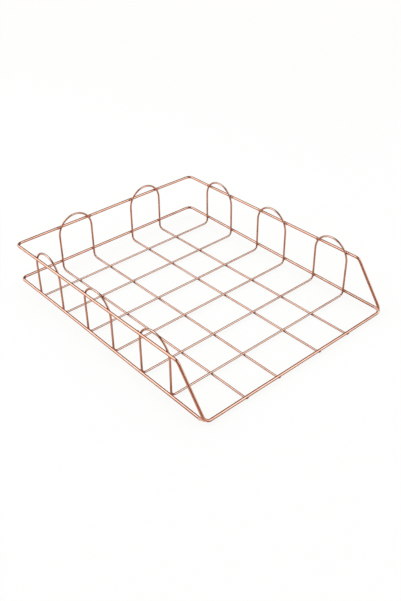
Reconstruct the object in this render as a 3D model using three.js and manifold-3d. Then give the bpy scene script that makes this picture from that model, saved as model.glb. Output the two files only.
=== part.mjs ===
// Stacking letter tray, bent from round wire and spot-welded: an open front, low walls and a grid floor.
// Millimetres, +Z up. X runs across the tray and the open front faces -Y. The origin lies on the
// surface that the tray stands on, under the middle of the rim.
import * as THREE from "three";
import { mergeVertices } from "three/addons/utils/BufferGeometryUtils.js";
import Module from "manifold-3d";

// Wire
const HEAVY_WIRE = 3.2; // diameter of the rim wire and the base wire
const FINE_WIRE = 2.3; // diameter of the cross loops and the lengthwise loops
const WIRE_SIDES = 12; // faces round a wire's section, so two pairs of them lie square to the tray

// Rim wire, measured between wire centres
const RIM_WIDTH = 280;
const RIM_DEPTH = 340;
const RIM_RISE = 57; // from the front wire up to the side and back wires
const SLOPE_RUN = 38.5; // how far back the sloping fronts of the sides reach
const FRONT_CORNER_BEND = 7.5; // bend radii, to the wire's centre
const SLOPE_TOP_BEND = 7;
const BACK_CORNER_BEND = 7;

// Base wire: a U below the rim, whose cut ends drop to meet the rim wire's front corners
const BASE_FRONT_RISE = 2.8; // above the front wire, at the front
const BASE_BACK_RISE = 8.6; // above the front wire, at the back
const BASE_CORNER_BEND = 7;
const BASE_END_SHORT = 6.5; // how far the cut ends stop behind the front wire's centre
const END_WELD_RADIUS = 2; // at the thickest place of the weld between a cut end and the rim wire
const END_WELD_LAP = 0.6; // how far that weld would lap into each wire if it weren't hollowed
const END_WELD_RINGS = 8;
const WELD_GAP = 0.1; // clearance that the weld keeps to both wires

// Floor and wall loops
const LOOP_SPACING = 48.5; // between the two legs of every loop, which sets its arch too
const LEG_BEND = 6; // radius between a leg and its floor run
const ARCH_RISE = 12.25; // top of an arch above the rim, between wire centres
const CROSS_FRONT_MARGIN = 77.5; // from the front wire back to the middle of the first cross loop
const CROSS_BACK_MARGIN = 64.5; // from the middle of the last cross loop back to the back wire
const LENGTHWISE_PITCH = 113; // from the left lengthwise loop to the right one
const LENGTHWISE_END_REACH = 1.5; // how far the cut ends pass the front wire's centre

// Fineness of the rounded stretches
const ARC_STEP_DEG = 15;

// Places that follow from the sizes above: wires that are welded touch, so their centres lie
// the sum of their radii apart.
const heavyRadius = HEAVY_WIRE / 2;
const fineRadius = FINE_WIRE / 2;
const seat = heavyRadius + fineRadius;
const lengthwiseHeight = fineRadius * Math.cos(Math.PI / WIRE_SIDES);
const crossHeight = lengthwiseHeight + FINE_WIRE;
const frontHeight = lengthwiseHeight + seat;
const rimHeight = frontHeight + RIM_RISE;
const archHeight = rimHeight + ARCH_RISE;
const sideX = RIM_WIDTH / 2;
const frontY = -RIM_DEPTH / 2;
const backY = RIM_DEPTH / 2;
const firstCrossY = frontY + CROSS_FRONT_MARGIN;
const lastCrossY = backY - CROSS_BACK_MARGIN;

const wasm = await Module();
wasm.setup();

const copperPlate = { color: 0xd9977c, roughness: 0.22, metalness: 1 };
const weldMetal = { color: 0xb97a62, roughness: 0.45, metalness: 1 };

function corner(x, y, z, bend = 0) {
  return { at: new THREE.Vector3(x, y, z), bend };
}

// The centreline of a bent wire: straight runs, with each inner corner rounded to its bend radius.
function centreline(corners, closed) {
  const points = [];
  const add = (point) => {
    if (!points.length || point.distanceTo(points.at(-1)) > 1e-4) points.push(point);
  };
  corners.forEach(({ at, bend }, i) => {
    const before = corners[i - 1] ?? (closed ? corners.at(-1) : null);
    const after = corners[i + 1] ?? (closed ? corners[0] : null);
    if (!before || !after) {
      add(at);
      return;
    }
    const incoming = at.clone().sub(before.at).normalize();
    const outgoing = after.at.clone().sub(at).normalize();
    const turn = incoming.angleTo(outgoing);
    const inward = outgoing.clone().addScaledVector(incoming, -Math.cos(turn)).normalize();
    const start = at.clone().addScaledVector(incoming, -bend * Math.tan(turn / 2));
    const centre = start.clone().addScaledVector(inward, bend);
    const steps = Math.max(1, Math.round(THREE.MathUtils.radToDeg(turn) / ARC_STEP_DEG));
    for (let step = 0; step <= steps; step++) {
      const angle = (turn * step) / steps;
      const point = centre.clone().addScaledVector(inward, -bend * Math.cos(angle));
      add(point.addScaledVector(incoming, bend * Math.sin(angle)));
    }
  });
  if (closed && points[0].distanceTo(points.at(-1)) < 1e-4) points.pop();
  return points;
}

// A solid round wire along a centreline. Every straight stretch keeps the same section, and
// neighbouring stretches meet in a mitre.
function wireGeometry(points, diameter, closed) {
  const count = points.length;
  const stretches = closed ? count : count - 1;
  const along = [];
  for (let i = 0; i < stretches; i++) {
    along.push(points[(i + 1) % count].clone().sub(points[i]).normalize());
  }
  const side = new THREE.Vector3(0, 0, 1);
  if (Math.abs(along[0].z) > 0.9) side.set(1, 0, 0);
  side.addScaledVector(along[0], -side.dot(along[0])).normalize();
  const firstSide = side.clone();

  const corners = [];
  const turned = new THREE.Quaternion();
  for (let i = 0; i < count; i++) {
    const outgoing = along[Math.min(i, stretches - 1)];
    const incoming = closed ? along[(i + count - 1) % count] : along[Math.max(i - 1, 0)];
    if (i > 0) side.applyQuaternion(turned.setFromUnitVectors(incoming, outgoing));
    const across = new THREE.Vector3().crossVectors(outgoing, side);
    const mitre = incoming.clone().add(outgoing).normalize();
    for (let k = 0; k < WIRE_SIDES; k++) {
      const angle = ((k + 0.5) * 2 * Math.PI) / WIRE_SIDES;
      const offset = side.clone().multiplyScalar((Math.cos(angle) * diameter) / 2);
      offset.addScaledVector(across, (Math.sin(angle) * diameter) / 2);
      offset.addScaledVector(outgoing, -offset.dot(mitre) / outgoing.dot(mitre));
      corners.push(...points[i].clone().add(offset).toArray());
    }
  }

  // On a closed wire the section comes back turned, by this many of its sides.
  let shift = 0;
  if (closed) {
    side.applyQuaternion(turned.setFromUnitVectors(along.at(-1), along[0]));
    const across = new THREE.Vector3().crossVectors(along[0], firstSide);
    const turn = Math.atan2(side.dot(across), side.dot(firstSide));
    shift = Math.round((turn * WIRE_SIDES) / (2 * Math.PI)) + WIRE_SIDES;
  }
  const index = [];
  for (let i = 0; i < stretches; i++) {
    const last = i === count - 1;
    for (let k = 0; k < WIRE_SIDES; k++) {
      const here = (n) => i * WIRE_SIDES + (n % WIRE_SIDES);
      const next = (n) => (last ? (n + shift) % WIRE_SIDES : (i + 1) * WIRE_SIDES + (n % WIRE_SIDES));
      index.push(here(k), here(k + 1), next(k + 1), here(k), next(k + 1), next(k));
    }
  }
  if (!closed) {
    const end = (count - 1) * WIRE_SIDES;
    for (let k = 1; k < WIRE_SIDES - 1; k++) {
      index.push(0, k + 1, k);
      index.push(end, end + k, end + k + 1);
    }
  }
  const geometry = new THREE.BufferGeometry();
  geometry.setAttribute("position", new THREE.Float32BufferAttribute(corners, 3));
  geometry.setIndex(index);
  geometry.computeVertexNormals();
  return geometry;
}

// The same centreline with both ends moved outwards by a distance.
function lengthened(points, distance) {
  const grown = points.map((point) => point.clone());
  const push = (end, inner) => end.addScaledVector(end.clone().sub(inner).normalize(), distance);
  push(grown[0], points[1]);
  push(grown.at(-1), points.at(-2));
  return grown;
}

function bentWire(name, corners, diameter, closed) {
  const material = new THREE.MeshStandardMaterial(copperPlate);
  const mesh = new THREE.Mesh(wireGeometry(centreline(corners, closed), diameter, closed), material);
  mesh.name = name;
  return mesh;
}

function solidOf(geometry) {
  const vertProperties = new Float32Array(geometry.attributes.position.array);
  const triVerts = new Uint32Array(geometry.index.array);
  return new wasm.Manifold(new wasm.Mesh({ numProp: 3, vertProperties, triVerts }));
}

function geometryOf(solid) {
  const { vertProperties, triVerts } = solid.getMesh();
  const geometry = new THREE.BufferGeometry();
  geometry.setAttribute("position", new THREE.BufferAttribute(vertProperties, 3));
  geometry.setIndex(new THREE.BufferAttribute(triVerts, 1));
  geometry.computeVertexNormals();
  return geometry;
}

// The rim: one closed heavy wire, level round the back and sides, sloping down to the front floor edge.
const rimCorners = [
  corner(-sideX, frontY, frontHeight, FRONT_CORNER_BEND),
  corner(sideX, frontY, frontHeight, FRONT_CORNER_BEND),
  corner(sideX, frontY + SLOPE_RUN, rimHeight, SLOPE_TOP_BEND),
  corner(sideX, backY, rimHeight, BACK_CORNER_BEND),
  corner(-sideX, backY, rimHeight, BACK_CORNER_BEND),
  corner(-sideX, frontY + SLOPE_RUN, rimHeight, SLOPE_TOP_BEND),
];

// The base wire's height above the surface at a depth y, on its straight, slightly sloping sides.
function baseHeight(y) {
  const share = (y - frontY) / RIM_DEPTH;
  return frontHeight + BASE_FRONT_RISE + (BASE_BACK_RISE - BASE_FRONT_RISE) * share;
}

const baseEndY = frontY + BASE_END_SHORT;
const baseCorners = [
  corner(-sideX, baseEndY, baseHeight(baseEndY)),
  corner(-sideX, backY, baseHeight(backY), BASE_CORNER_BEND),
  corner(sideX, backY, baseHeight(backY), BASE_CORNER_BEND),
  corner(sideX, baseEndY, baseHeight(baseEndY)),
];

// A cross loop: two floor runs joined by an arch up each side wall, welded inside the rim and base wires.
function crossLoop(name, middleY) {
  const legX = sideX - seat;
  const near = middleY - LOOP_SPACING / 2;
  const far = middleY + LOOP_SPACING / 2;
  const arch = LOOP_SPACING / 2;
  const corners = [
    corner(-legX, near, crossHeight, LEG_BEND),
    corner(legX, near, crossHeight, LEG_BEND),
    corner(legX, near, archHeight, arch),
    corner(legX, far, archHeight, arch),
    corner(legX, far, crossHeight, LEG_BEND),
    corner(-legX, far, crossHeight, LEG_BEND),
    corner(-legX, far, archHeight, arch),
    corner(-legX, near, archHeight, arch),
  ];
  return bentWire(name, corners, FINE_WIRE, true);
}

// A lengthwise loop: an arch and two legs at the back, and two floor runs under the cross loops
// whose cut ends are welded under the front wire.
function lengthwiseLoop(name, middleX) {
  const legY = backY - seat;
  const endY = frontY - LENGTHWISE_END_REACH;
  const left = middleX - LOOP_SPACING / 2;
  const right = middleX + LOOP_SPACING / 2;
  const arch = LOOP_SPACING / 2;
  const corners = [
    corner(left, endY, lengthwiseHeight),
    corner(left, legY, lengthwiseHeight, LEG_BEND),
    corner(left, legY, archHeight, arch),
    corner(right, legY, archHeight, arch),
    corner(right, legY, lengthwiseHeight, LEG_BEND),
    corner(right, endY, lengthwiseHeight),
  ];
  return bentWire(name, corners, FINE_WIRE, false);
}

// The weld between a cut end of the base wire and the rim wire's front corner: a short barrel from
// the cut end to the rim wire, hollowed where it meets the two wires.
function endWeld(name, cutEnd, rimPath, wires) {
  const aim = new THREE.Vector3(cutEnd.x, frontY, baseHeight(frontY));
  const byDistance = (p, q) => p.distanceTo(aim) - q.distanceTo(aim);
  const onRim = rimPath.toSorted(byDistance)[0];
  const half = cutEnd.distanceTo(onRim) / 2;
  const reach = half + END_WELD_LAP;
  const thinning = 1 - (heavyRadius / END_WELD_RADIUS) ** 2;
  const profile = [new THREE.Vector2(0, -reach)];
  for (let i = 0; i <= END_WELD_RINGS; i++) {
    const t = reach * ((2 * i) / END_WELD_RINGS - 1);
    profile.push(new THREE.Vector2(END_WELD_RADIUS * Math.sqrt(1 - thinning * (t / half) ** 2), t));
  }
  profile.push(new THREE.Vector2(0, reach));

  let barrel = new THREE.LatheGeometry(profile, WIRE_SIDES);
  const heading = onRim.clone().sub(cutEnd).normalize();
  barrel.applyQuaternion(new THREE.Quaternion().setFromUnitVectors(new THREE.Vector3(0, 1, 0), heading));
  barrel.translate(...cutEnd.clone().add(onRim).divideScalar(2).toArray());
  barrel.deleteAttribute("normal");
  barrel.deleteAttribute("uv");
  barrel = mergeVertices(barrel);

  const weld = wires.reduce((solid, wire) => solid.subtract(wire), solidOf(barrel));
  const mesh = new THREE.Mesh(geometryOf(weld), new THREE.MeshStandardMaterial(weldMetal));
  mesh.name = name;
  return mesh;
}

const tray = new THREE.Group();
tray.add(bentWire("rim_wire", rimCorners, HEAVY_WIRE, true));
tray.add(bentWire("base_wire", baseCorners, HEAVY_WIRE, false));
["front", "middle", "back"].forEach((place, i, places) => {
  const share = i / (places.length - 1);
  tray.add(crossLoop(`cross_loop_${place}`, THREE.MathUtils.lerp(firstCrossY, lastCrossY, share)));
});
tray.add(lengthwiseLoop("lengthwise_loop_left", -LENGTHWISE_PITCH / 2));
tray.add(lengthwiseLoop("lengthwise_loop_right", LENGTHWISE_PITCH / 2));

const rimPath = centreline(rimCorners, true);
const basePath = centreline(baseCorners, false);
const clearRoom = HEAVY_WIRE + 2 * WELD_GAP;
const wires = [
  solidOf(wireGeometry(rimPath, clearRoom, true)),
  solidOf(wireGeometry(lengthened(basePath, WELD_GAP), clearRoom, false)),
];
tray.add(endWeld("end_weld_left", basePath[0], rimPath, wires));
tray.add(endWeld("end_weld_right", basePath.at(-1), rimPath, wires));

export default tray;
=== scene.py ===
import math

import bpy
from mathutils import Matrix, Vector


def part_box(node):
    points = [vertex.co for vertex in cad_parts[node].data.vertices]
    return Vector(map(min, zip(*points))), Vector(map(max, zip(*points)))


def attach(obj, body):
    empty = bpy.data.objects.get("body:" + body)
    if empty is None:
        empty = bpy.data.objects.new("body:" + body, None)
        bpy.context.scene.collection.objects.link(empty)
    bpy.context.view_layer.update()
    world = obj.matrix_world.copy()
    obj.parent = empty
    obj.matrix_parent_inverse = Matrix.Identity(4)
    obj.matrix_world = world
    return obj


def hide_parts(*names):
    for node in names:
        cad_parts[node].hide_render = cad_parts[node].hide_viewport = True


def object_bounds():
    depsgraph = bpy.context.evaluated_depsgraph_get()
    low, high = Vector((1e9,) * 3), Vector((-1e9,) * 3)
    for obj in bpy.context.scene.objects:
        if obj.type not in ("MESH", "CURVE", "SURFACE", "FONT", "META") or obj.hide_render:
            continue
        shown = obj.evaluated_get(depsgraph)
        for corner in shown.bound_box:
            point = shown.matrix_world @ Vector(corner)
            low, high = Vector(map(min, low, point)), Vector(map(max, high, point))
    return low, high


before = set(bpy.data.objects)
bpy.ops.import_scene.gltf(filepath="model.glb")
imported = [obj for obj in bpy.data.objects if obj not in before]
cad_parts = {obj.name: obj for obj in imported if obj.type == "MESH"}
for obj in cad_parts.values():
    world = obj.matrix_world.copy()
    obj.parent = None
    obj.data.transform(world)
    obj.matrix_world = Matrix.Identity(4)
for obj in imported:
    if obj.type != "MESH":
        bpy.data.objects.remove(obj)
cad_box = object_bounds()

# A letter tray of copper-plated steel wire, dressed over its CAD frame. Each wire of the frame is drawn
# again as round wire along the same path, each end weld is laid again as a bead of weld metal, and the
# spot welds are added where wires cross. Then come the studio and the camera.
#
# Lengths are in metres and angles in degrees. The open front faces -Y, and Z is up.
MM = 0.001

# Wire, as in the frame
HEAVY_WIRE = 3.2 * MM  # rim wire and base wire
FINE_WIRE = 2.3 * MM  # cross loops and lengthwise loops
FRAME_WIRE_SIDES = 12  # faces round a wire in the frame, two pairs of them square to the tray
LOOP_SPACING = 48.5 * MM  # between the two legs of a loop
LEG_BEND = 6 * MM
ARCH_CROWN = 0.1 * MM  # half of the flat left at the top of an arch, between its two bends
ARCH_BEND = LOOP_SPACING / 2 - ARCH_CROWN
SLOPE_RUN = 38.5 * MM
FRONT_CORNER_BEND = 7.5 * MM
SLOPE_TOP_BEND = 7 * MM
BACK_CORNER_BEND = 7 * MM
BASE_CORNER_BEND = 7 * MM

# How finely the wires are drawn
SIDES = 24
BEND_POINTS = 14
LONGEST_STEP = 2 * MM

# Hand-made looks: a slow wander of the whole tray's wires, and the sheared ends
WANDER_REACH = 0.7 * MM
WANDER_SPAN = 130 * MM
WANDER_FLAT_BELOW = 5 * MM  # wires this low stay level, because they lie on the surface
WANDER_FREE_ABOVE = 60 * MM
END_CHAMFER = 0.3 * MM
END_GIRTH = 0.84  # share of the diameter left at a sheared end
FRONT_SLIP = 1.8 * MM  # how far to the right the bender let the rim's front edge slip
LENGTH_END_TRIM = 2.2 * MM  # cut off the lengthwise wires' ends under the front edge
BASE_END_REACH = 0.5 * MM  # how far the base wire runs on inside its end weld

# Spot welds
FINE_WELD = 1.35 * MM  # half width of the metal squeezed out where two fine wires cross
HEAVY_WELD = 1.55 * MM  # the same where a fine wire crosses a heavy one
FRONT_WELD = 1.2 * MM  # the same under the front edge, where the electrode spread it sideways
FRONT_WELD_STRETCH = 1.7
FRONT_WELD_OUT = 0.5 * MM  # in front of the rim wire's middle
WELD_THICKNESS = 0.4  # of its half width
WELD_SIZES = (0.86, 1.14)  # from the smallest weld to the largest, as shares of the plain size
WELD_LUMPS = 0.35 * MM
WELD_LUMP_SPAN = 1.1 * MM
WELD_FINENESS = 3  # how often a weld's ball is subdivided
WELD_SEED = 11

# End welds
BEAD_DROPS = 9
BEAD_RADIUS = 1.9 * MM
BEAD_TIP = 0.75  # share of its radius left where the bead runs out on the rim wire
BEAD_TURN = 42  # degrees round the rim wire's front bend, from the slope, to the bead's tip
BEAD_OUT = 0.6 * MM  # outside the rim wire's middle, where the tip fills the notch between the wires
BEAD_VOXEL = 0.2 * MM
BEAD_SKIN = 0.1  # how full of metal the drops' volume is where its skin is drawn
BEAD_LUMPS = 0.1 * MM
BEAD_LUMP_SPAN = 1.4 * MM

# Camera: where it stands, how it is turned, and its lens for a 36 mm long side
CAMERA_PLACE = Vector((-0.5030, -0.5746, 0.5313))
CAMERA_AZIMUTH = -41.63
CAMERA_ELEVATION = 34.88
CAMERA_ROLL = -0.534
CAMERA_LENS = 45.445
CAMERA_SENSOR = 36.0

LEFT, RIGHT = -1, 1
UP = Vector((0, 0, 1))
BACK = Vector((0, 1, 0))

heavy_radius = HEAVY_WIRE / 2
fine_radius = FINE_WIRE / 2
seat = heavy_radius + fine_radius  # between the centres of a fine wire and a heavy one that touch
face_share = math.cos(math.pi / FRAME_WIRE_SIDES)  # of a radius, from a wire's centre to a frame face

rim_low, rim_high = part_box("rim_wire")
base_low, base_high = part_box("base_wire")
cross_low, cross_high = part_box("cross_loop_front")
length_low, length_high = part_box("lengthwise_loop_left")

side_x = cross_high.x - fine_radius * face_share + seat
front_y = rim_low.y + heavy_radius
back_y = length_high.y - fine_radius * face_share + seat
slope_top_y = front_y + SLOPE_RUN
front_z = rim_low.z + heavy_radius
rim_z = rim_high.z - heavy_radius
base_end_y = base_low.y
base_end_z = base_low.z + heavy_radius * face_share
base_back_z = base_high.z - heavy_radius * face_share
length_z = length_low.z + fine_radius * face_share
length_end_y = length_low.y
cross_z = cross_low.z + fine_radius * face_share
arch_z = cross_high.z - fine_radius
floor_z = length_z - fine_radius


def cross_runs_of(node):
    """The depths at which a cross loop's two floor runs cross the tray."""
    low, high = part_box(node)
    middle = (low.y + high.y) / 2
    return middle - LOOP_SPACING / 2, middle + LOOP_SPACING / 2


def lengthwise_runs_of(node):
    """How far to the right a lengthwise loop's two floor runs lie."""
    low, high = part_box(node)
    middle = (low.x + high.x) / 2
    return middle - LOOP_SPACING / 2, middle + LOOP_SPACING / 2


def base_z(y):
    """The height of the base wire's centre at a depth y."""
    share = (y - base_end_y) / (back_y - base_end_y)
    return base_end_z + (base_back_z - base_end_z) * share


cross_nodes = ["cross_loop_front", "cross_loop_middle", "cross_loop_back"]
lengthwise_nodes = ["lengthwise_loop_left", "lengthwise_loop_right"]
cross_runs = [y for node in cross_nodes for y in cross_runs_of(node)]
lengthwise_runs = [x for node in lengthwise_nodes for x in lengthwise_runs_of(node)]


# Nodes that geometry and materials share

WHOLE = (0.0, 1.0)
NOISE_BODY = (0.3, 0.7)  # nearly all of a noise's values
NOISE_HEART = (0.35, 0.65)  # the more common ones, for patches with clear borders
NOISE_MIDDLE = 0.5

# Octaves of a noise
FINE = 4.0
PLAIN = 3.0
SOFT = 2.0
SLOW = 1.5


def socket(sockets, key):
    """One of a node's sockets, by number, or by name among those that are in use."""
    if isinstance(key, int):
        return sockets[key]
    return next(s for s in sockets if s.name == key and s.enabled)


def add_node(tree, kind, values=None, **settings):
    """Adds a node. Values go by the input's name or number, and are plain or another node's output."""
    node = tree.nodes.new(kind)
    for name, value in settings.items():
        setattr(node, name, value)
    for key, value in (values or {}).items():
        target = socket(node.inputs, key)
        if isinstance(value, bpy.types.NodeSocket):
            tree.links.new(value, target)
        else:
            target.default_value = value
    return node


def math_node(tree, operation, first, second=0.0, clamp=False):
    node = add_node(tree, "ShaderNodeMath", {0: first, 1: second}, operation=operation, use_clamp=clamp)
    return node.outputs[0]


def vector_node(tree, operation, first, second):
    node = add_node(tree, "ShaderNodeVectorMath", {0: first, 1: second}, operation=operation)
    return node.outputs[0]


def scaled_vector(tree, vector, factor):
    node = add_node(tree, "ShaderNodeVectorMath", {0: vector, "Scale": factor}, operation="SCALE")
    return node.outputs[0]


def map_range(tree, value, source, target, interpolation="LINEAR"):
    """Carries a value from one range over to another, each a pair of ends."""
    values = {
        "Value": value, "From Min": source[0], "From Max": source[1],
        "To Min": target[0], "To Max": target[1],
    }
    return add_node(tree, "ShaderNodeMapRange", values, interpolation_type=interpolation).outputs[0]


def noise(tree, span, octaves, place=None):
    """A noise whose grains are as wide as the span, at the geometry's own place or at another."""
    values = {"Scale": 1 / span, "Detail": octaves}
    if place is not None:
        values["Vector"] = place
    return add_node(tree, "ShaderNodeTexNoise", values).outputs[0]


# Geometry trees

def named_attribute(tree, name, kind="FLOAT"):
    node = add_node(tree, "GeometryNodeInputNamedAttribute", {"Name": name}, data_type=kind)
    return socket(node.outputs, "Attribute")


def stored(tree, geometry, name, value, kind="FLOAT"):
    """Stores a value for each point of the geometry under a name."""
    values = {"Geometry": geometry, "Name": name, "Value": value}
    node = add_node(tree, "GeometryNodeStoreNamedAttribute", values, data_type=kind, domain="POINT")
    return node.outputs[0]


def shifted(tree, geometry, offset):
    values = {"Geometry": geometry, "Offset": offset}
    return add_node(tree, "GeometryNodeSetPosition", values).outputs[0]


def lumpy(tree, geometry, span, reach):
    """Swells a surface and sinks it again along its normals, in lumps as wide as the span."""
    swell = math_node(tree, "SUBTRACT", noise(tree, span, SOFT), NOISE_MIDDLE)
    normal = add_node(tree, "GeometryNodeInputNormal").outputs[0]
    return shifted(tree, geometry, scaled_vector(tree, normal, math_node(tree, "MULTIPLY", swell, reach)))


def geometry_tree(name, inputs):
    """A tree with named inputs, and with those for the wander and the finish. Returns it and its inputs."""
    tree = bpy.data.node_groups.new(name, "GeometryNodeTree")
    labels = {"Geometry": "Geometry", **inputs}
    labels.update({"Wander reach": "Float", "Wander span": "Float", "Finish": "Material"})
    for label, kind in labels.items():
        tree.interface.new_socket(label, in_out="INPUT", socket_type="NodeSocket" + kind)
    tree.interface.new_socket("Geometry", in_out="OUTPUT", socket_type="NodeSocketGeometry")
    return tree, tree.nodes.new("NodeGroupInput").outputs


def finish_tree(tree, inlet, geometry):
    """Ends a tree: smooth faces, everything real, and its finish."""
    smooth = add_node(tree, "GeometryNodeSetShadeSmooth", {"Geometry": geometry})
    real = add_node(tree, "GeometryNodeRealizeInstances", {"Geometry": smooth.outputs[0]})
    values = {"Geometry": real.outputs[0], "Material": inlet["Finish"]}
    painted = add_node(tree, "GeometryNodeSetMaterial", values)
    out = tree.nodes.new("NodeGroupOutput")
    tree.links.new(painted.outputs[0], out.inputs[0])
    return tree


def wander_group():
    """How far the wires at a place have wandered from true, the same for all wires that meet there."""
    tree = bpy.data.node_groups.new("wander", "GeometryNodeTree")
    tree.interface.new_socket("Reach", in_out="INPUT", socket_type="NodeSocketFloat")
    tree.interface.new_socket("Span", in_out="INPUT", socket_type="NodeSocketFloat")
    tree.interface.new_socket("Offset", in_out="OUTPUT", socket_type="NodeSocketVector")
    inlet = tree.nodes.new("NodeGroupInput").outputs
    place = add_node(tree, "GeometryNodeInputPosition").outputs[0]
    per_span = math_node(tree, "DIVIDE", 1.0, inlet["Span"])
    drift = add_node(tree, "ShaderNodeTexNoise", {"Vector": place, "Scale": per_span, "Detail": SLOW})
    swing = vector_node(tree, "SUBTRACT", drift.outputs["Color"], (NOISE_MIDDLE,) * 3)
    both_ways = math_node(tree, "MULTIPLY", inlet["Reach"], 2.0)
    height = add_node(tree, "ShaderNodeSeparateXYZ", {0: place}).outputs["Z"]
    lift = map_range(tree, height, (WANDER_FLAT_BELOW, WANDER_FREE_ABOVE), WHOLE)
    upright = add_node(tree, "ShaderNodeCombineXYZ", {"X": 1.0, "Y": 1.0, "Z": lift}).outputs[0]
    offset = vector_node(tree, "MULTIPLY", scaled_vector(tree, swing, both_ways), upright)
    out = tree.nodes.new("NodeGroupOutput")
    tree.links.new(offset, out.inputs[0])
    return tree


wander = wander_group()


def wandered(tree, inlet, geometry):
    """Moves a tree's geometry by the wander at each of its points."""
    values = {"Reach": inlet["Wander reach"], "Span": inlet["Wander span"]}
    group = add_node(tree, "GeometryNodeGroup", values, node_tree=wander)
    return shifted(tree, geometry, group.outputs[0])


def bent_wire_tree():
    """Bends a path at its corners and draws round wire along it."""
    tree, inlet = geometry_tree("bent_wire", {
        "Diameter": "Float", "Sides": "Int", "Bend points": "Int", "Longest step": "Float",
        "Weld places": "Object", "Greyness": "Float",
    })
    path = add_node(tree, "GeometryNodeMeshToCurve", {"Mesh": inlet["Geometry"]}).outputs[0]
    values = {"Curve": path, "Count": inlet["Bend points"], "Radius": named_attribute(tree, "bend")}
    bent = add_node(tree, "GeometryNodeFilletCurve", values, mode="POLY").outputs[0]

    # Straight stretches are divided, so that no step along the wire is longer than the longest step.
    place = add_node(tree, "GeometryNodeInputPosition").outputs[0]
    index = add_node(tree, "GeometryNodeInputIndex").outputs[0]
    values = {"Value": place, "Index": math_node(tree, "ADD", index, 1.0)}
    following = add_node(
        tree, "GeometryNodeFieldAtIndex", values, data_type="FLOAT_VECTOR", domain="POINT",
    )
    values = {0: place, 1: following.outputs[0]}
    gap = add_node(tree, "ShaderNodeVectorMath", values, operation="DISTANCE").outputs["Value"]
    cuts = math_node(tree, "DIVIDE", gap, inlet["Longest step"])
    divided = add_node(tree, "GeometryNodeSubdivideCurve", {"Curve": bent, "Cuts": cuts}).outputs[0]

    length = add_node(tree, "GeometryNodeSplineParameter").outputs["Length"]
    line = wandered(tree, inlet, stored(tree, divided, "along", length))
    radius = math_node(tree, "MULTIPLY", inlet["Diameter"], 0.5)
    values = {"Resolution": inlet["Sides"], "Radius": radius}
    section = add_node(tree, "GeometryNodeCurvePrimitiveCircle", values).outputs[0]
    swept = add_node(tree, "GeometryNodeCurveToMesh", {
        "Curve": line, "Profile Curve": stored(tree, section, "section", place, "FLOAT_VECTOR"),
        "Scale": named_attribute(tree, "girth"), "Fill Caps": True,
    })

    # Where a point lies in its own wire: across the section, and along the length.
    section_place = named_attribute(tree, "section", "FLOAT_VECTOR")
    across = add_node(tree, "ShaderNodeSeparateXYZ", {0: section_place}).outputs
    along = named_attribute(tree, "along")
    values = {"X": across["X"], "Y": across["Y"], "Z": along}
    in_wire = add_node(tree, "ShaderNodeCombineXYZ", values).outputs[0]
    charted = stored(tree, swept.outputs[0], "in_wire", in_wire, "FLOAT_VECTOR")

    welds = add_node(tree, "GeometryNodeObjectInfo", {"Object": inlet["Weld places"]})
    values = {0: welds.outputs["Geometry"]}
    nearest = add_node(tree, "GeometryNodeProximity", values, target_element="POINTS")
    weld_marked = stored(tree, charted, "weld_distance", nearest.outputs["Distance"])
    return finish_tree(tree, inlet, stored(tree, weld_marked, "greyness", inlet["Greyness"]))


def spot_weld_tree():
    """Sets a lumpy lens of squeezed-out metal on each weld place, square to the contact."""
    tree, inlet = geometry_tree("spot_welds", {
        "Half width": "Float", "Stretch": "Float", "Thickness": "Float", "Lumps": "Float", "Seed": "Int",
        "Painted shade": "Float",
    })
    places = wandered(tree, inlet, inlet["Geometry"])
    values = {"Radius": inlet["Half width"], "Subdivisions": WELD_FINENESS}
    ball = add_node(tree, "GeometryNodeMeshIcoSphere", values).outputs[0]
    values = {"Vector": named_attribute(tree, "facing", "FLOAT_VECTOR")}
    facing = add_node(tree, "FunctionNodeAlignRotationToVector", values, axis="Z").outputs[0]
    values = {"Min": WELD_SIZES[0], "Max": WELD_SIZES[1], "Seed": inlet["Seed"]}
    size = socket(add_node(tree, "FunctionNodeRandomValue", values).outputs, "Value")
    values = {"X": inlet["Stretch"], "Y": 1.0, "Z": inlet["Thickness"]}
    flat = add_node(tree, "ShaderNodeCombineXYZ", values).outputs[0]
    placed = add_node(tree, "GeometryNodeInstanceOnPoints", {
        "Points": places, "Instance": ball, "Rotation": facing, "Scale": scaled_vector(tree, flat, size),
    })
    real = add_node(tree, "GeometryNodeRealizeInstances", {"Geometry": placed.outputs[0]}).outputs[0]
    squeezed = lumpy(tree, real, WELD_LUMP_SPAN, inlet["Lumps"])
    return finish_tree(tree, inlet, stored(tree, squeezed, "scorch", inlet["Painted shade"]))


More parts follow.
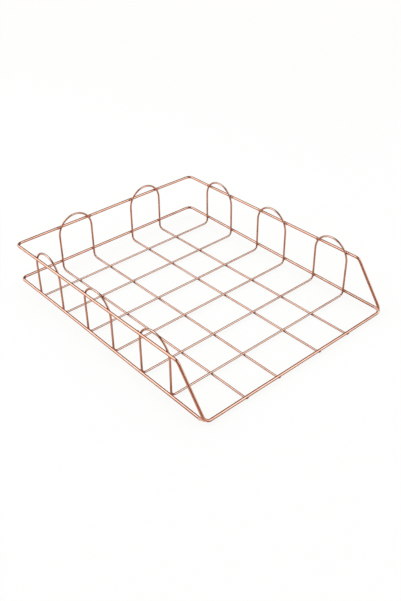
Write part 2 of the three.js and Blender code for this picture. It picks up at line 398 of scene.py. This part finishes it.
def end_weld_tree():
    """Runs a bead of weld metal along a short path: overlapping drops, melted into one body."""
    tree, inlet = geometry_tree("end_weld_bead", {
        "Drops": "Int", "Drop radius": "Float", "Voxel": "Float", "Lumps": "Float", "Seed": "Int",
    })
    path = add_node(tree, "GeometryNodeMeshToCurve", {"Mesh": inlet["Geometry"]}).outputs[0]
    values = {"Curve": path, "Count": inlet["Drops"]}
    drops = add_node(tree, "GeometryNodeCurveToPoints", values, mode="COUNT").outputs[0]
    values = {"Min": (-1.0, -1.0, -1.0), "Max": (1.0, 1.0, 1.0), "Seed": inlet["Seed"]}
    spread = add_node(tree, "FunctionNodeRandomValue", values, data_type="FLOAT_VECTOR")
    jitter = scaled_vector(tree, socket(spread.outputs, "Value"), inlet["Lumps"])
    strewn = wandered(tree, inlet, shifted(tree, drops, jitter))
    radius = math_node(tree, "MULTIPLY", inlet["Drop radius"], named_attribute(tree, "girth"))
    values = {"Points": strewn, "Voxel Size": inlet["Voxel"], "Radius": radius}
    volume = add_node(tree, "GeometryNodePointsToVolume", values, resolution_mode="VOXEL_SIZE")
    values = {"Volume": volume.outputs[0], "Threshold": BEAD_SKIN}
    skin = add_node(tree, "GeometryNodeVolumeToMesh", values).outputs[0]
    melted = lumpy(tree, skin, BEAD_LUMP_SPAN, inlet["Lumps"])
    return finish_tree(tree, inlet, stored(tree, melted, "satin", 1.0))


# Objects and meshes

def scene_object(name, data):
    """A new object, linked to the scene."""
    item = bpy.data.objects.new(name, data)
    bpy.context.scene.collection.objects.link(item)
    return item


def seed_mesh(name, points, edges, attributes):
    """An object of bare points and edges, with a value for each point in each attribute."""
    mesh = bpy.data.meshes.new(name)
    mesh.from_pydata(points, edges, [])
    for key, (kind, values) in attributes.items():
        attribute = mesh.attributes.new(key, kind, "POINT")
        for item, value in zip(attribute.data, values):
            if kind == "FLOAT":
                item.value = value
            else:
                item.vector = value
    return scene_object(name, mesh)


def grown(name, seed_object, tree, values):
    """Runs a tree on a seed object and returns its result as a plain mesh object."""
    values = {"Wander reach": WANDER_REACH, "Wander span": WANDER_SPAN, **values}
    modifier = seed_object.modifiers.new(tree.name, "NODES")
    modifier.node_group = tree
    for item in tree.interface.items_tree:
        if item.in_out == "INPUT" and item.name in values:
            modifier[item.identifier] = values[item.name]
    evaluated = seed_object.evaluated_get(bpy.context.evaluated_depsgraph_get())
    mesh = bpy.data.meshes.new_from_object(evaluated)
    mesh.name = name
    seed_object.modifiers.remove(modifier)
    bpy.data.objects.remove(seed_object)
    return scene_object(name, mesh)


def flat_sheet(name, rectangles, z):
    """A mesh of level rectangles at one height, each given by its left, near, right and far edge."""
    points = []
    for left, near, right, far in rectangles:
        points += [(left, near, z), (right, near, z), (right, far, z), (left, far, z)]
    faces = [(i, i + 1, i + 2, i + 3) for i in range(0, len(points), 4)]
    mesh = bpy.data.meshes.new(name)
    mesh.from_pydata(points, [], faces)
    return mesh


# Materials

PLATE_LIGHT = (0.91, 0.55, 0.41)
PLATE_DEEP = (0.83, 0.46, 0.33)
PLATE_GREY = (0.84, 0.57, 0.45)
CROSS_GREYNESS = 0.7  # how much of the grey the cross loops have
EDGE_TINT = (0.3, 0.2, 0.15)
# Round each weld the plating turns darker and redder: partly a heat tint, partly painted shade in the
# crevice where the wires meet
HEAT_AND_SHADE_TINT = (0.80, 0.45, 0.33)
HEAT_AND_SHADE_SHARE = 0.6  # how strongly the heat tint and the painted crevice shade darken the plating
WELD_MARK_REACH = (1.4 * MM, 4.2 * MM)  # from a weld's place, over which the heat tint and the painted shade fade out
WELD_MARK_FRAY = 0.6 * MM
WELD_MARK_GRAIN = 0.5 * MM
BATH_SPAN = 14 * MM  # of the patches where the plating came out thicker or thinner
DRAW_LINE_WIDTH = 0.25 * MM
DRAW_LINE_LENGTH = 35 * MM
DRAW_LINE_DEPTH = 0.01 * MM
DRAW_LINE_STRENGTH = 0.25
PLATE_ROUGHNESS = (0.13, 0.19)
HEAT_ROUGHNESS = 0.16  # added where a weld heated the plating

WELD_LIGHT = (0.90, 0.55, 0.43)
WELD_DEEP = (0.74, 0.41, 0.30)
WELD_PAINTED_SHADE = (0.36, 0.20, 0.15)  # painted shade round the cut ends under the front edge, where the rim wire shades them
WELD_SATIN = (0.94, 0.60, 0.50)  # the end welds, smoothed before plating
SATIN_METALLIC = 0.4  # their plating is a matt skin that scatters light
SATIN_ROUGHNESS = 0.2  # added on the end welds
WELD_ROUGHNESS = (0.32, 0.55)
POOL_SPAN = 1.2 * MM  # of the light and deep patches
PIT_SPAN = 0.25 * MM
PIT_DEPTH = 0.05 * MM
PIT_STRENGTH = 0.5


def rgba(colour):
    return (*colour, 1.0)


def new_material(name):
    """A material, its tree and its plain shader."""
    material = bpy.data.materials.new(name)
    material.use_nodes = True
    tree = material.node_tree
    return material, tree, tree.nodes["Principled BSDF"]


def mixed(tree, factor, first, second):
    """A colour between two others."""
    values = {"Factor": factor, "A": first, "B": second}
    return socket(add_node(tree, "ShaderNodeMix", values, data_type="RGBA").outputs, "Result")


def stored_value(tree, name, output="Fac"):
    """What a piece's mesh has stored under a name."""
    return add_node(tree, "ShaderNodeAttribute", attribute_name=name).outputs[output]


def own_place(tree):
    return add_node(tree, "ShaderNodeTexCoord").outputs["Object"]


def roughen(tree, shader, rough, height, strength, depth):
    """Gives a shader its roughness, and a bump of the given depth from a height."""
    tree.links.new(rough, shader.inputs["Roughness"])
    values = {"Strength": strength, "Distance": depth, "Height": height}
    bump = add_node(tree, "ShaderNodeBump", values)
    tree.links.new(bump.outputs[0], shader.inputs["Normal"])


def copper_plate():
    """Bright copper plating over drawn wire, dulled and reddened where a weld heated it, and darkened round
    the welds as painted shade where the wires meet.
    """
    material, tree, shader = new_material("copper_plate")
    across = 1 / DRAW_LINE_WIDTH
    in_lines = (across, across, 1 / DRAW_LINE_LENGTH)
    in_wire = vector_node(tree, "MULTIPLY", stored_value(tree, "in_wire", "Vector"), in_lines)
    drawn = noise(tree, 1.0, FINE, in_wire)
    place = own_place(tree)
    bath = noise(tree, BATH_SPAN, PLAIN, place)
    grain = noise(tree, WELD_MARK_GRAIN, PLAIN, place)
    fray = map_range(tree, grain, NOISE_BODY, (-WELD_MARK_FRAY, WELD_MARK_FRAY))
    frayed = math_node(tree, "ADD", stored_value(tree, "weld_distance"), fray)
    heat_and_shade = map_range(tree, frayed, WELD_MARK_REACH, (1.0, 0.0), "SMOOTHSTEP")

    thin = map_range(tree, bath, NOISE_HEART, WHOLE)
    bright = mixed(tree, thin, rgba(PLATE_LIGHT), rgba(PLATE_DEEP))
    plating = mixed(tree, stored_value(tree, "greyness"), bright, rgba(PLATE_GREY))
    # Heat tint and painted crevice shade, fading out from the welds
    tinted = math_node(tree, "MULTIPLY", heat_and_shade, HEAT_AND_SHADE_SHARE)
    tree.links.new(mixed(tree, tinted, plating, rgba(HEAT_AND_SHADE_TINT)), shader.inputs["Base Color"])
    shader.inputs["Metallic"].default_value = 1.0
    shader.inputs["Specular Tint"].default_value = rgba(EDGE_TINT)
    smooth = map_range(tree, drawn, NOISE_BODY, PLATE_ROUGHNESS)
    rough = math_node(tree, "ADD", smooth, math_node(tree, "MULTIPLY", heat_and_shade, HEAT_ROUGHNESS))
    roughen(tree, shader, rough, drawn, DRAW_LINE_STRENGTH, DRAW_LINE_DEPTH)
    return material


def plated_weld():
    """Weld metal under the same plating: lumpy, dull and redder than the wire."""
    material, tree, shader = new_material("plated_weld")
    place = own_place(tree)
    mottled = map_range(tree, noise(tree, POOL_SPAN, FINE, place), NOISE_HEART, WHOLE)
    pits = noise(tree, PIT_SPAN, SOFT, place)
    satin = stored_value(tree, "satin")
    raw_metal = mixed(tree, mottled, rgba(WELD_LIGHT), rgba(WELD_DEEP))
    # Painted shade: the welds under the front edge are darkened towards a shade colour, for the rim wire's
    # shadow on them
    shaded_weld_metal = mixed(tree, stored_value(tree, "scorch"), raw_metal, rgba(WELD_PAINTED_SHADE))
    tree.links.new(mixed(tree, satin, shaded_weld_metal, rgba(WELD_SATIN)), shader.inputs["Base Color"])
    metallic = map_range(tree, satin, WHOLE, (1.0, SATIN_METALLIC))
    tree.links.new(metallic, shader.inputs["Metallic"])
    pitted = map_range(tree, pits, NOISE_BODY, WELD_ROUGHNESS)
    rough = math_node(tree, "ADD", pitted, math_node(tree, "MULTIPLY", satin, SATIN_ROUGHNESS))
    roughen(tree, shader, rough, pits, PIT_STRENGTH, PIT_DEPTH)
    return material


# Paths of the wires: corners with their bend radii

def rim_corners():
    """The closed rim: level round the back and sides, sloping down to the front floor edge."""
    return [
        (Vector((0, back_y, rim_z)), 0),
        (Vector((-side_x, back_y, rim_z)), BACK_CORNER_BEND),
        (Vector((-side_x, slope_top_y, rim_z)), SLOPE_TOP_BEND),
        (Vector((-side_x + FRONT_SLIP, front_y, front_z)), FRONT_CORNER_BEND),
        (Vector((side_x + FRONT_SLIP, front_y, front_z)), FRONT_CORNER_BEND),
        (Vector((side_x, slope_top_y, rim_z)), SLOPE_TOP_BEND),
        (Vector((side_x, back_y, rim_z)), BACK_CORNER_BEND),
    ]


def base_corners():
    """The base wire: a U whose two cut ends stop behind the rim wire's front corners."""
    end_y = base_end_y - BASE_END_REACH
    return [
        (Vector((-side_x, end_y, base_z(end_y))), 0),
        (Vector((-side_x, back_y, base_back_z)), BASE_CORNER_BEND),
        (Vector((side_x, back_y, base_back_z)), BASE_CORNER_BEND),
        (Vector((side_x, end_y, base_z(end_y))), 0),
    ]


def cross_loop_corners(node):
    """Two floor runs across the tray, joined by an arch up each side wall."""
    near, far = cross_runs_of(node)
    leg = side_x - seat
    return [
        (Vector((0, near, cross_z)), 0),
        (Vector((leg, near, cross_z)), LEG_BEND),
        (Vector((leg, near, arch_z)), ARCH_BEND),
        (Vector((leg, far, arch_z)), ARCH_BEND),
        (Vector((leg, far, cross_z)), LEG_BEND),
        (Vector((-leg, far, cross_z)), LEG_BEND),
        (Vector((-leg, far, arch_z)), ARCH_BEND),
        (Vector((-leg, near, arch_z)), ARCH_BEND),
        (Vector((-leg, near, cross_z)), LEG_BEND),
    ]


def lengthwise_loop_corners(node):
    """An arch and two legs at the back wall, and two floor runs that end under the front wire."""
    left, right = lengthwise_runs_of(node)
    leg = back_y - seat
    end_y = length_end_y + LENGTH_END_TRIM
    return [
        (Vector((left, end_y, length_z)), 0),
        (Vector((left, leg, length_z)), LEG_BEND),
        (Vector((left, leg, arch_z)), ARCH_BEND),
        (Vector((right, leg, arch_z)), ARCH_BEND),
        (Vector((right, leg, length_z)), LEG_BEND),
        (Vector((right, end_y, length_z)), 0),
    ]


def wire_seed(name, corners, closed):
    """The path of a wire as a seed object. A cut end gets two rings close together for its chamfer."""
    points = [at for at, bend in corners]
    bends = [bend for at, bend in corners]
    girths = [1.0] * len(corners)
    if not closed:
        first_way = (points[1] - points[0]).normalized()
        last_way = (points[-2] - points[-1]).normalized()
        points.insert(1, points[0] + first_way * END_CHAMFER)
        points.insert(-1, points[-1] + last_way * END_CHAMFER)
        bends = [0, *bends, 0]
        girths = [END_GIRTH, *girths, END_GIRTH]
    edges = [(i, i + 1) for i in range(len(points) - 1)]
    if closed:
        edges.append((len(points) - 1, 0))
    attributes = {"bend": ("FLOAT", bends), "girth": ("FLOAT", girths)}
    return seed_mesh(name + "_path", points, edges, attributes)


# Weld places: a point between the two wires, and the direction square to the contact

def floor_weld_places():
    """The crossings of the floor grid."""
    height = (cross_z + length_z) / 2
    return [(Vector((x, y, height)), UP) for y in cross_runs for x in lengthwise_runs]


def front_weld_places():
    """The lengthwise wires' ends, under the rim's front edge."""
    height = length_z + fine_radius
    return [(Vector((x, front_y - FRONT_WELD_OUT, height)), UP) for x in lengthwise_runs]


def wall_weld_places(height_at):
    """The contacts of the legs with a heavy wire, whose height is a function of the depth."""
    places = []
    for y in cross_runs:
        for side in (LEFT, RIGHT):
            at = Vector((side * (side_x - heavy_radius), y, height_at(y)))
            places.append((at, Vector((side, 0, 0))))
    for x in lengthwise_runs:
        places.append((Vector((x, back_y - heavy_radius, height_at(back_y))), BACK))
    return places


def places_seed(name, places):
    points = [at for at, facing in places]
    facings = [facing for at, facing in places]
    return seed_mesh(name, points, [], {"facing": ("FLOAT_VECTOR", facings)})


def end_weld_path(side):
    """From inside the base wire's cut end to the rim wire's front bend."""
    start = Vector((side * side_x, base_end_y, base_end_z))
    top = Vector((side * side_x, slope_top_y, rim_z))
    corner = Vector((side * side_x + FRONT_SLIP, front_y, front_z))
    slope = (top - corner).normalized()
    inward = Vector((-side, 0, 0))
    centre = corner + FRONT_CORNER_BEND * (slope + inward)
    turn = math.radians(BEAD_TURN)
    away = math.cos(turn) * inward + math.sin(turn) * slope
    on_bend = centre - (FRONT_CORNER_BEND + BEAD_OUT) * away
    return [start, on_bend]


# The tray

plate = copper_plate()
weld_metal = plated_weld()
wire_tree = bent_wire_tree()
spot_tree = spot_weld_tree()
bead_tree = end_weld_tree()

# For each group of spot welds: the places, the half width, the stretch and the share of painted shade
weld_groups = {
    "floor_spot_welds": (floor_weld_places(), FINE_WELD, 1.0, 0.0),
    "front_spot_welds": (front_weld_places(), FRONT_WELD, FRONT_WELD_STRETCH, 1.0),
    "rim_spot_welds": (wall_weld_places(lambda y: rim_z), HEAVY_WELD, 1.0, 0.0),
    "base_spot_welds": (wall_weld_places(base_z), HEAVY_WELD, 1.0, 0.0),
}
all_places = [place for group in weld_groups.values() for place in group[0]]
all_places += [(at, UP) for side in (LEFT, RIGHT) for at in end_weld_path(side)]
weld_mark_source = places_seed("weld_places", all_places)


def set_on_tray(piece, slot, *nodes):
    """Makes a finished piece part of the tray, in the place of the frame's nodes."""
    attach(piece, "root")
    if nodes:
        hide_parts(*nodes)


def draw_wire(node, corners, diameter, greyness, closed):
    """Draws the wire of one of the frame's nodes along its corners, and puts it in the node's place."""
    name = "drawn_" + node
    wire = grown(name, wire_seed(name, corners, closed), wire_tree, {
        "Diameter": diameter, "Sides": SIDES, "Bend points": BEND_POINTS, "Longest step": LONGEST_STEP,
        "Weld places": weld_mark_source, "Greyness": greyness, "Finish": plate,
    })
    set_on_tray(wire, "copper_plate", node)


draw_wire("rim_wire", rim_corners(), HEAVY_WIRE, greyness=0.0, closed=True)
draw_wire("base_wire", base_corners(), HEAVY_WIRE, greyness=0.0, closed=False)
for node in cross_nodes:
    draw_wire(node, cross_loop_corners(node), FINE_WIRE, greyness=CROSS_GREYNESS, closed=True)
for node in lengthwise_nodes:
    draw_wire(node, lengthwise_loop_corners(node), FINE_WIRE, greyness=0.0, closed=False)

for name, (places, half_width, stretch, scorch) in weld_groups.items():
    spots = grown(name, places_seed(name, places), spot_tree, {
        "Half width": half_width, "Stretch": stretch, "Thickness": WELD_THICKNESS, "Lumps": WELD_LUMPS,
        "Painted shade": scorch, "Seed": WELD_SEED, "Finish": weld_metal,
    })
    set_on_tray(spots, "plated_weld")

for side, place in ((LEFT, "left"), (RIGHT, "right")):
    name = "end_weld_bead_" + place
    seed = seed_mesh(name, end_weld_path(side), [(0, 1)], {"girth": ("FLOAT", (1.0, BEAD_TIP))})
    bead = grown(name, seed, bead_tree, {
        "Drops": BEAD_DROPS, "Drop radius": BEAD_RADIUS, "Voxel": BEAD_VOXEL, "Lumps": BEAD_LUMPS,
        "Seed": WELD_SEED + side, "Finish": weld_metal,
    })
    set_on_tray(bead, "plated_weld", "end_weld_" + place)

bpy.data.objects.remove(weld_mark_source)


# Studio

TRAY_MIDDLE = (cad_box[0] + cad_box[1]) / 2
WHITE = (1.0, 0.995, 0.985)
WORLD_LIGHT = 0.9

FLOOR_REACH = 12.0
FLOOR_COLOUR = (0.9, 0.9, 0.89)
FLOOR_ROUGHNESS = 0.8
FLOOR_FADE = (0.6, 2.2)  # from the tray's middle, over which the floor turns into the white of the world
GLOW_NEAR = 0.85  # share of plain white in the floor near the tray, so that the shadow stays soft

SOFTBOX_DISTANCE = 1.5
CARD_DISTANCE = 2.0
CARD_STEP = 5  # degrees between the points of a curved card
TABLE_REACH = 1.5
TABLE_LIFT = 0.02 * MM  # of the table card above the floor
SHADE_STRIP_LIFT = 0.03 * MM  # of the dark strips of painted shade, which lie on the table card
SHADE_STRIP_NEAR = 1.5  # how far a strip reaches to either side of its wire, as shares of the wire's height
SHADE_STRIP_FAR = 1.6


def seen_white(tree):
    """1 for rays from the camera, and for those that metal or glass sends on, and 0 for the rest."""
    rays = add_node(tree, "ShaderNodeLightPath").outputs
    both = math_node(tree, "ADD", rays["Is Camera Ray"], rays["Is Glossy Ray"])
    return math_node(tree, "ADD", both, rays["Is Transmission Ray"], clamp=True)


def square(reach):
    """The edges of a square round the origin, as a flat sheet takes them."""
    return (-reach, -reach, reach, reach)


def white_world():
    """A world that looks white and lights the tray a little less than that."""
    world = bpy.data.worlds.new("studio")
    world.use_nodes = True
    bpy.context.scene.world = world
    tree = world.node_tree
    background = tree.nodes["Background"]
    background.inputs["Color"].default_value = rgba(WHITE)
    strength = map_range(tree, seen_white(tree), WHOLE, (WORLD_LIGHT, 1.0))
    tree.links.new(strength, background.inputs["Strength"])


def white_floor():
    """A pale floor that shows white and keeps the tray's shadow."""
    mesh = flat_sheet("floor", [square(FLOOR_REACH)], floor_z)
    floor = scene_object("floor", mesh)
    material, tree, shader = new_material("white_floor")
    shader.inputs["Base Color"].default_value = rgba(FLOOR_COLOUR)
    shader.inputs["Roughness"].default_value = FLOOR_ROUGHNESS
    shader.inputs["Specular IOR Level"].default_value = 0.0
    glow = add_node(tree, "ShaderNodeEmission", {"Color": rgba(WHITE), "Strength": 1.0})
    length = add_node(tree, "ShaderNodeVectorMath", {0: own_place(tree)}, operation="LENGTH")
    faded = map_range(tree, length.outputs["Value"], FLOOR_FADE, (GLOW_NEAR, 1.0), "SMOOTHSTEP")
    share = math_node(tree, "MULTIPLY", seen_white(tree), faded)
    blend = add_node(tree, "ShaderNodeMixShader", {0: share, 1: shader.outputs[0], 2: glow.outputs[0]})
    tree.links.new(blend.outputs[0], tree.nodes["Material Output"].inputs["Surface"])
    mesh.materials.append(material)


def around(azimuth, elevation, distance):
    """A place round the tray, as the camera's views count azimuth and elevation."""
    a = math.radians(azimuth)
    e = math.radians(elevation)
    away = Vector((math.sin(a) * math.cos(e), -math.cos(a) * math.cos(e), math.sin(e)))
    return TRAY_MIDDLE + away * distance


def softbox(name, azimuth, elevation, size, power, colour):
    """A soft lamp that faces the tray, placed by its azimuth from the camera's."""
    lamp = bpy.data.lights.new(name, "AREA")
    lamp.shape = "RECTANGLE"
    lamp.size, lamp.size_y = size
    lamp.energy = power
    lamp.color = colour
    place = around(CAMERA_AZIMUTH + azimuth, elevation, SOFTBOX_DISTANCE)
    turn = (TRAY_MIDDLE - place).to_track_quat("-Z", "Y").to_matrix().to_4x4()
    box = scene_object(name, lamp)
    box.matrix_world = Matrix.Translation(place) @ turn
    box.visible_camera = False


def stand_card(name, mesh, colour, shader="ShaderNodeEmission"):
    """Makes a mesh a card that only the metal sees. It glows, or is lit where the shader is diffuse."""
    board = scene_object(name, mesh)
    material, tree, plain = new_material(name)
    tree.nodes.remove(plain)
    paint = add_node(tree, shader, {"Color": rgba(colour)})
    tree.links.new(paint.outputs[0], tree.nodes["Material Output"].inputs["Surface"])
    mesh.materials.append(material)
    board.visible_camera = False
    board.visible_diffuse = False
    board.visible_shadow = False
    board.visible_transmission = False


def curved_card(name, azimuths, elevations, colour):
    """A card curved round the tray, as a studio sets cards to draw the edges of bright metal."""
    columns = round((azimuths[1] - azimuths[0]) / CARD_STEP)
    rows = round((elevations[1] - elevations[0]) / CARD_STEP)
    points = []
    for row in range(rows + 1):
        for column in range(columns + 1):
            azimuth = CAMERA_AZIMUTH + azimuths[0] + column * CARD_STEP
            points.append(around(azimuth, elevations[0] + row * CARD_STEP, CARD_DISTANCE))
    wide = columns + 1
    faces = [
        (row * wide + c, row * wide + c + 1, (row + 1) * wide + c + 1, (row + 1) * wide + c)
        for row in range(rows) for c in range(columns)
    ]
    mesh = bpy.data.meshes.new(name)
    mesh.from_pydata(points, [], faces)
    stand_card(name, mesh, colour)


def table_card(colour):
    """The table that the metal sees under the tray, just above the floor."""
    mesh = flat_sheet("table_card", [square(TABLE_REACH)], floor_z + TABLE_LIFT)
    stand_card("table_card", mesh, colour, "ShaderNodeBsdfDiffuse")


def painted_shade_strips(name, across, along, colour):
    """Dark strips of painted shade on the table under low wires and beside them, seen only by the metal,
    for the shade a wire casts on its own reflection.

    Each wire is given by the place of its run, across the tray or along it, and by its height.
    """
    strips = []
    for y, z in across:
        strips.append((-side_x, y - SHADE_STRIP_NEAR * z, side_x, y + SHADE_STRIP_FAR * z))
    for x, z in along:
        strips.append((x - SHADE_STRIP_NEAR * z, front_y, x + SHADE_STRIP_FAR * z, back_y))
    stand_card(name, flat_sheet(name, strips, floor_z + SHADE_STRIP_LIFT), colour)


def add_camera():
    """The camera at the photograph's angle, which is the scene's own."""
    camera = bpy.data.cameras.new("camera")
    camera.lens = CAMERA_LENS
    camera.sensor_width = CAMERA_SENSOR
    stand = scene_object("camera", camera)
    turn = Matrix.Rotation(math.radians(CAMERA_AZIMUTH), 4, "Z")
    tilt = Matrix.Rotation(math.radians(90 - CAMERA_ELEVATION), 4, "X")
    roll = Matrix.Rotation(math.radians(CAMERA_ROLL), 4, "Z")
    stand.matrix_world = Matrix.Translation(CAMERA_PLACE) @ turn @ tilt @ roll
    bpy.context.scene.camera = stand


white_world()
white_floor()
softbox(
    "right_softbox", azimuth=80, elevation=42, size=(1.05, 1.18), power=2.9, colour=(0.72, 0.98, 1.13),
)
softbox(
    "left_softbox", azimuth=-100, elevation=44, size=(1.66, 1.82), power=7.2, colour=(0.78, 1.0, 1.13),
)
curved_card("camera_card", azimuths=(-80, 65), elevations=(0, 65), colour=(0.24, 0.115, 0.08))
curved_card("back_card", azimuths=(115, 230), elevations=(0, 65), colour=(0.19, 0.105, 0.08))
curved_card("top_card", azimuths=(0, 360), elevations=(65, 90), colour=(0.16, 0.09, 0.07))
table_card(colour=(0.65, 0.42, 0.325))
# Painted shade: dark strips, seen only by the metal, under the low wires and under the base wire
painted_shade_strips(
    "low_wire_contacts", across=[(front_y, front_z)] + [(y, cross_z) for y in cross_runs],
    along=[(x, length_z) for x in lengthwise_runs], colour=(0.06, 0.03, 0.02),
)
painted_shade_strips(
    "base_wire_contacts", across=[(back_y, base_back_z)],
    along=[(-side_x, base_back_z), (side_x, base_back_z)], colour=(0.34, 0.20, 0.15),
)
add_camera()
bpy.context.scene.view_settings.view_transform = "Standard"
